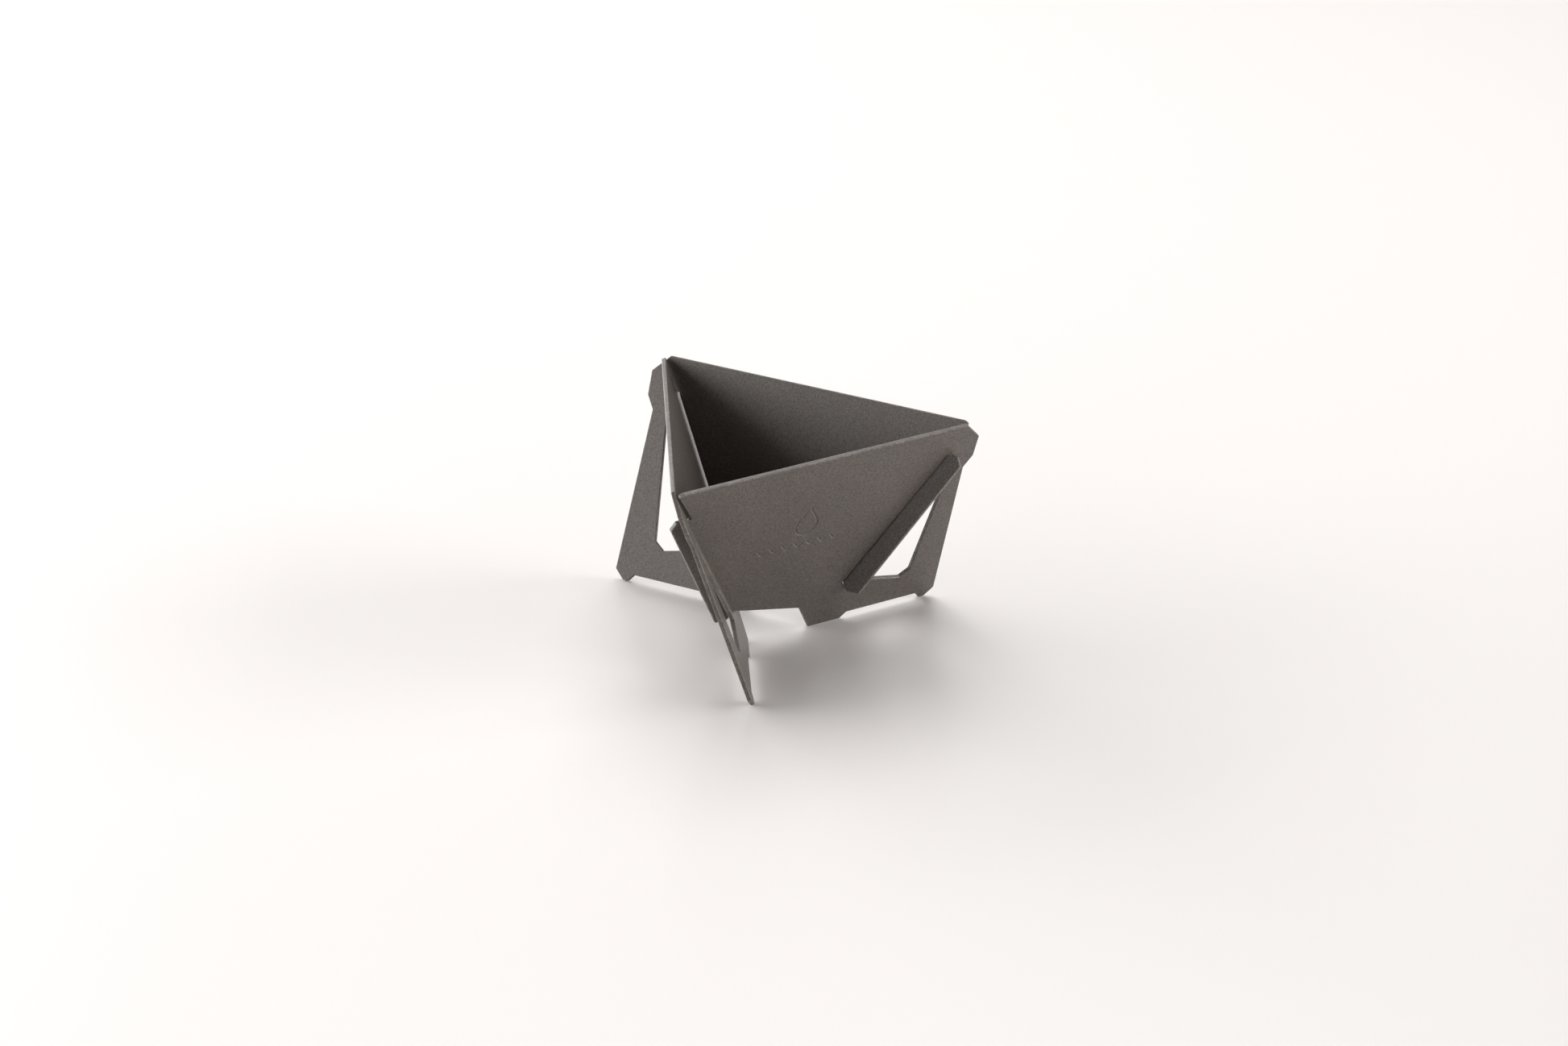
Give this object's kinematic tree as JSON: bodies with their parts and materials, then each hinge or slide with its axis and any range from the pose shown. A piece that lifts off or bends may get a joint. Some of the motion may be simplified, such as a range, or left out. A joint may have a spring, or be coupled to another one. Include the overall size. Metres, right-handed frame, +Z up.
{
  "type": "flat-pack pour-over coffee dripper",
  "caption": "Flat-pack coffee dripper: identical sheet-metal plates slot together into an open three-sided funnel that stands on its own legs.",
  "frame": {"origin": "middle of the base of the assembled dripper's bounding box, on the surface it stands on; the funnel's own vertical axis is at X -1.70 mm, Y -10.25 mm", "axes": "+Z up; the front plate faces -Y and its rim runs along +X, to the right as seen from the front; the left and back plates are turned 120 degrees either way about the funnel's axis"},
  "size_m": [0.1272, 0.1256, 0.0786],
  "materials": {
    "coat": "matte fine-textured dark warm grey coat"
  },
  "bodies": {
    "back": {"plate_back": "coat"},
    "left": {"plate_left": "coat"},
    "front": {"plate_front": "coat"}
  },
  "joints": [
    {"name": "left_pull", "type": "slide", "parent": "back", "child": "left", "axis": [-0.5, -0.866, 0], "range_m": [0, 0.014]},
    {"name": "front_pull", "type": "slide", "parent": "back", "child": "front", "axis": [0.5, -0.866, 0], "range_m": [0, 0.014]}
  ],
  "couplings": [
    {"joint": "front_pull", "follows": "left_pull", "ratio": 1}
  ]
}
